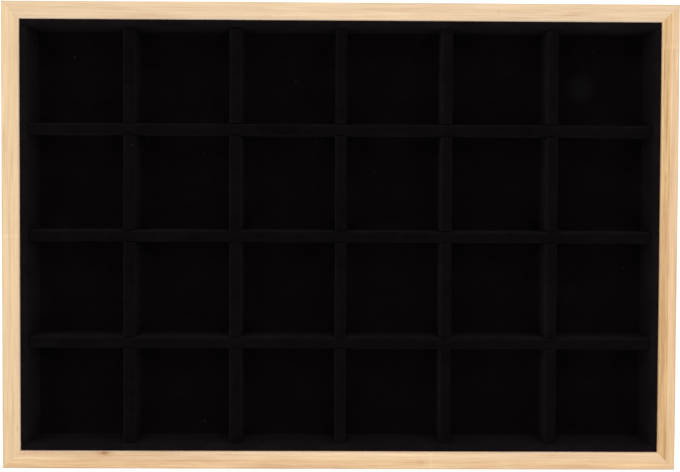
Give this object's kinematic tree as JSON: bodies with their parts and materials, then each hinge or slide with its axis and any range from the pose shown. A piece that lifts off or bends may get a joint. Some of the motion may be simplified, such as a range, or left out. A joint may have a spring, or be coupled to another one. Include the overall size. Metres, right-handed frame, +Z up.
{
  "type": "jewelry tray",
  "caption": "Shallow mitred bamboo tray lined with black velvet, split into small square cells by crossed, slotted dividers that lift out; lies flat and shows rings, earrings and small pieces.",
  "frame": {"origin": "on the table, under the middle of the tray's underside", "axes": "+X along the long side, to the right in the picture; +Y across the tray, towards the picture's top; +Z up, out of the open face"},
  "size_m": [0.35, 0.242, 0.03],
  "materials": {
    "bamboo": "satin lacquer, fine straight grain",
    "base_board": "matt, unfinished underside",
    "dark_board": "matt pressed board, dyed dark grey",
    "velvet": "short dense pile, soft sheen at grazing angles"
  },
  "bodies": {
    "tray": {"front_rail": "bamboo", "back_rail": "bamboo", "left_rail": "bamboo", "right_rail": "bamboo", "corner_keys": "bamboo", "base_panel": "base_board", "floor_board": "dark_board", "floor_velvet": "velvet", "front_wall_board": "dark_board", "back_wall_board": "dark_board", "left_wall_board": "dark_board", "right_wall_board": "dark_board", "front_wall_velvet": "velvet", "back_wall_velvet": "velvet", "left_wall_velvet": "velvet", "right_wall_velvet": "velvet"},
    "short_dividers": {"short_divider_board_1": "dark_board", "short_divider_board_2": "dark_board", "short_divider_board_3": "dark_board", "short_divider_board_4": "dark_board", "short_divider_board_5": "dark_board", "short_divider_velvet_1": "velvet", "short_divider_velvet_2": "velvet", "short_divider_velvet_3": "velvet", "short_divider_velvet_4": "velvet", "short_divider_velvet_5": "velvet"},
    "long_divider_1": {"long_divider_board_1": "dark_board", "long_divider_velvet_1": "velvet"},
    "long_divider_2": {"long_divider_board_2": "dark_board", "long_divider_velvet_2": "velvet"},
    "long_divider_3": {"long_divider_board_3": "dark_board", "long_divider_velvet_3": "velvet"}
  },
  "joints": [
    {"name": "short_dividers_lift", "type": "slide", "parent": "tray", "child": "short_dividers", "axis": [0, 0, 1], "range_m": [0, 0.026]},
    {"name": "long_divider_1_lift", "type": "slide", "parent": "short_dividers", "child": "long_divider_1", "axis": [0, 0, 1], "range_m": [0, 0.024]},
    {"name": "long_divider_2_lift", "type": "slide", "parent": "short_dividers", "child": "long_divider_2", "axis": [0, 0, 1], "range_m": [0, 0.024]},
    {"name": "long_divider_3_lift", "type": "slide", "parent": "short_dividers", "child": "long_divider_3", "axis": [0, 0, 1], "range_m": [0, 0.024]}
  ]
}
